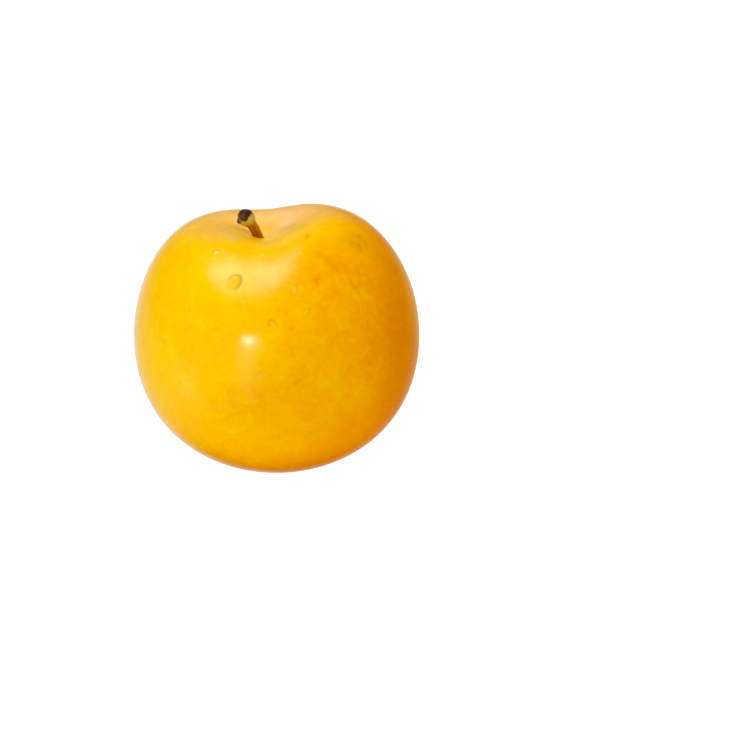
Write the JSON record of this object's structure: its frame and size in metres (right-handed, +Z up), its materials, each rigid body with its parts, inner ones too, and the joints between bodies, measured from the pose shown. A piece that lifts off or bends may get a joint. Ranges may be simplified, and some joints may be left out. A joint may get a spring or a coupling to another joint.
{
  "type": "plum",
  "caption": "Whole ripe yellow plum with a short bent stalk in its hollow, resting upright on the flat of its blossom end.",
  "frame": {"origin": "on the table, under the middle of the fruit, at the centre of the flat that it rests on", "axes": "+Z up towards the stalk, +X across the two cheeks away from the side the stalk leans to, -Y towards the seam"},
  "size_m": [0.0514, 0.0504, 0.0476],
  "materials": {
    "plum_skin": "satin",
    "dry_stalk": "matte"
  },
  "bodies": {
    "root": {"fruit": "plum_skin", "stem": "dry_stalk"}
  },
  "joints": []
}
